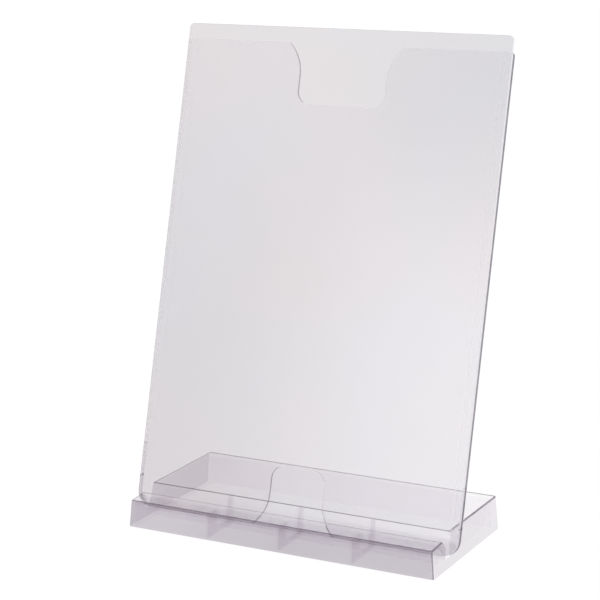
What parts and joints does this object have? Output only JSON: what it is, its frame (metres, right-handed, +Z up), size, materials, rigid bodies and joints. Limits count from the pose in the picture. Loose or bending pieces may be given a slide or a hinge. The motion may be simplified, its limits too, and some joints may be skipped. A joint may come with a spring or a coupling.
{
  "type": "photo display stand",
  "caption": "Clear, leaning portrait pocket for a page or photo, open at the top, with finger notches behind at the top and the foot, standing in the slot of a low hollow base.",
  "frame": {"origin": "middle of the base's footprint, on the surface it stands on", "axes": "+X to the viewer's right, +Y to the back, +Z up"},
  "size_m": [0.2226, 0.104, 0.3121],
  "materials": {
    "base_clear": "clear moulded plastic, polished",
    "sheet_clear": "clear plastic sheet, polished",
    "tray_clear": "clear moulded plastic, polished"
  },
  "bodies": {
    "base": {"base": "base_clear"},
    "pocket": {"front_sheet": "sheet_clear", "rear_tray": "tray_clear"}
  },
  "joints": [
    {"name": "pocket_lift", "type": "slide", "parent": "base", "child": "pocket", "axis": [0, 0.2436, 0.9699], "range_m": [0, 0.03]}
  ]
}
